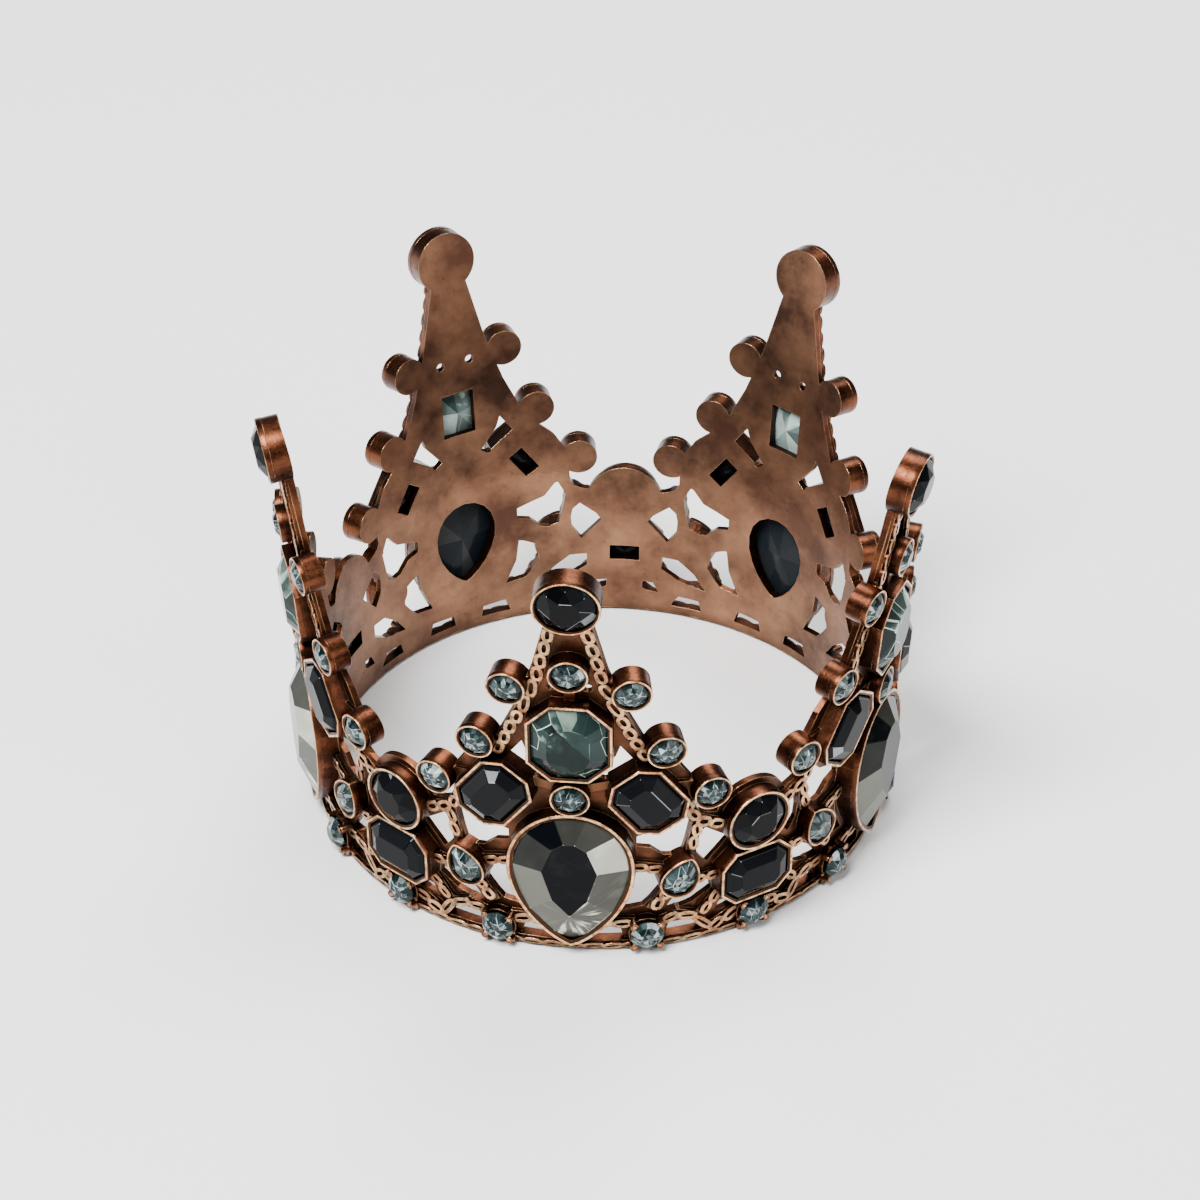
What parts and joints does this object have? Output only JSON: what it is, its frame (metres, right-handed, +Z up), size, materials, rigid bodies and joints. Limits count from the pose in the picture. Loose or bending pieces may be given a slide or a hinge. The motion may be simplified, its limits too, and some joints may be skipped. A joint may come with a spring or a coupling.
{
  "type": "mini crown",
  "caption": "Small round crown of pierced peaks on a plain rim, set all over with cut stones in raised cups, with wire loops inside the rim.",
  "frame": {"origin": "centre of the rim's bottom plane, on the crown's axis", "axes": "+Z up along the crown's axis, towards the peaks; the front peak is towards -Y"},
  "size_m": [0.0782, 0.078, 0.057],
  "materials": {
    "copper_casting": "antique copper plating on a casting, bright on the edges and dark in the recesses",
    "black_stone": "polished, faceted, opaque black",
    "teal_stone": "polished, step-cut, dull teal grey with pale flashes",
    "silver_stone": "polished, faceted, foiled to a silver grey mirror with a dark table",
    "pale_stone": "polished, faceted, pale teal grey with a foiled back"
  },
  "bodies": {
    "root": {"crown_frame": "copper_casting", "top_stone_1": "black_stone", "top_stone_2": "black_stone", "top_stone_3": "black_stone", "top_stone_4": "black_stone", "top_stone_5": "black_stone", "octagon_stone_1": "teal_stone", "octagon_stone_2": "teal_stone", "octagon_stone_3": "teal_stone", "octagon_stone_4": "teal_stone", "octagon_stone_5": "teal_stone", "pear_stone_1": "silver_stone", "pear_stone_2": "silver_stone", "pear_stone_3": "silver_stone", "pear_stone_4": "silver_stone", "pear_stone_5": "silver_stone", "left_long_stone_1": "black_stone", "left_long_stone_2": "black_stone", "left_long_stone_3": "black_stone", "left_long_stone_4": "black_stone", "left_long_stone_5": "black_stone", "right_long_stone_1": "black_stone", "right_long_stone_2": "black_stone", "right_long_stone_3": "black_stone", "right_long_stone_4": "black_stone", "right_long_stone_5": "black_stone", "valley_round_stone_1": "black_stone", "valley_round_stone_2": "black_stone", "valley_round_stone_3": "black_stone", "valley_round_stone_4": "black_stone", "valley_round_stone_5": "black_stone", "valley_long_stone_1": "black_stone", "valley_long_stone_2": "black_stone", "valley_long_stone_3": "black_stone", "valley_long_stone_4": "black_stone", "valley_long_stone_5": "black_stone", "small_stones_1": "pale_stone", "small_stones_2": "pale_stone", "small_stones_3": "pale_stone", "small_stones_4": "pale_stone", "small_stones_5": "pale_stone"}
  },
  "joints": []
}
